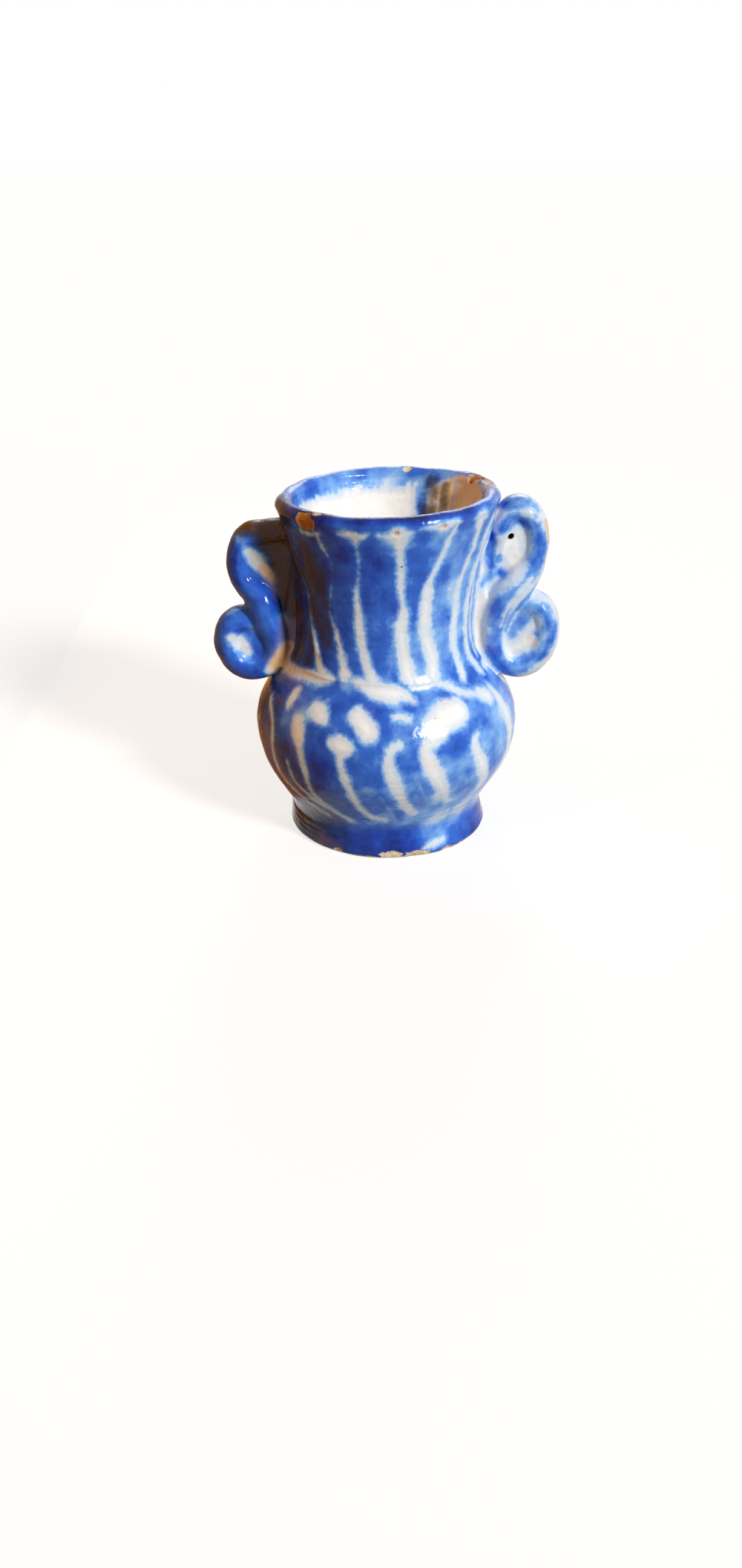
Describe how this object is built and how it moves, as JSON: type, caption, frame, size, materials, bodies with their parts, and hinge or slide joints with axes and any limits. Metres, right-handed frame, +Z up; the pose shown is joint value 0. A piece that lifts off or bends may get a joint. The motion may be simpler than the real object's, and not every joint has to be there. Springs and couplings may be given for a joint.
{
  "type": "miniature amphora",
  "caption": "Squat round-bellied miniature amphora with a wide flared neck, a ring foot and S-scroll handles, in cobalt-brushed tin-glazed earthenware.",
  "frame": {"origin": "centre of the foot's standing face, on the vessel's axis", "axes": "+Z up along the vessel's axis, +X towards the taller handle, +Y towards the back"},
  "size_m": [0.059, 0.0454, 0.06],
  "materials": {
    "foot_glaze": "gloss",
    "body_glaze": "gloss",
    "handle_glaze": "gloss",
    "luting_slip": "satin"
  },
  "bodies": {
    "root": {"foot_ring": "foot_glaze", "foot_slip": "luting_slip", "belly": "body_glaze", "neck_slip": "luting_slip", "neck": "body_glaze", "left_handle": "handle_glaze", "left_web": "luting_slip", "left_upper_slip": "luting_slip", "left_lower_slip": "luting_slip", "right_handle": "handle_glaze", "right_web": "luting_slip", "right_upper_slip": "luting_slip", "right_lower_slip": "luting_slip"}
  },
  "joints": []
}
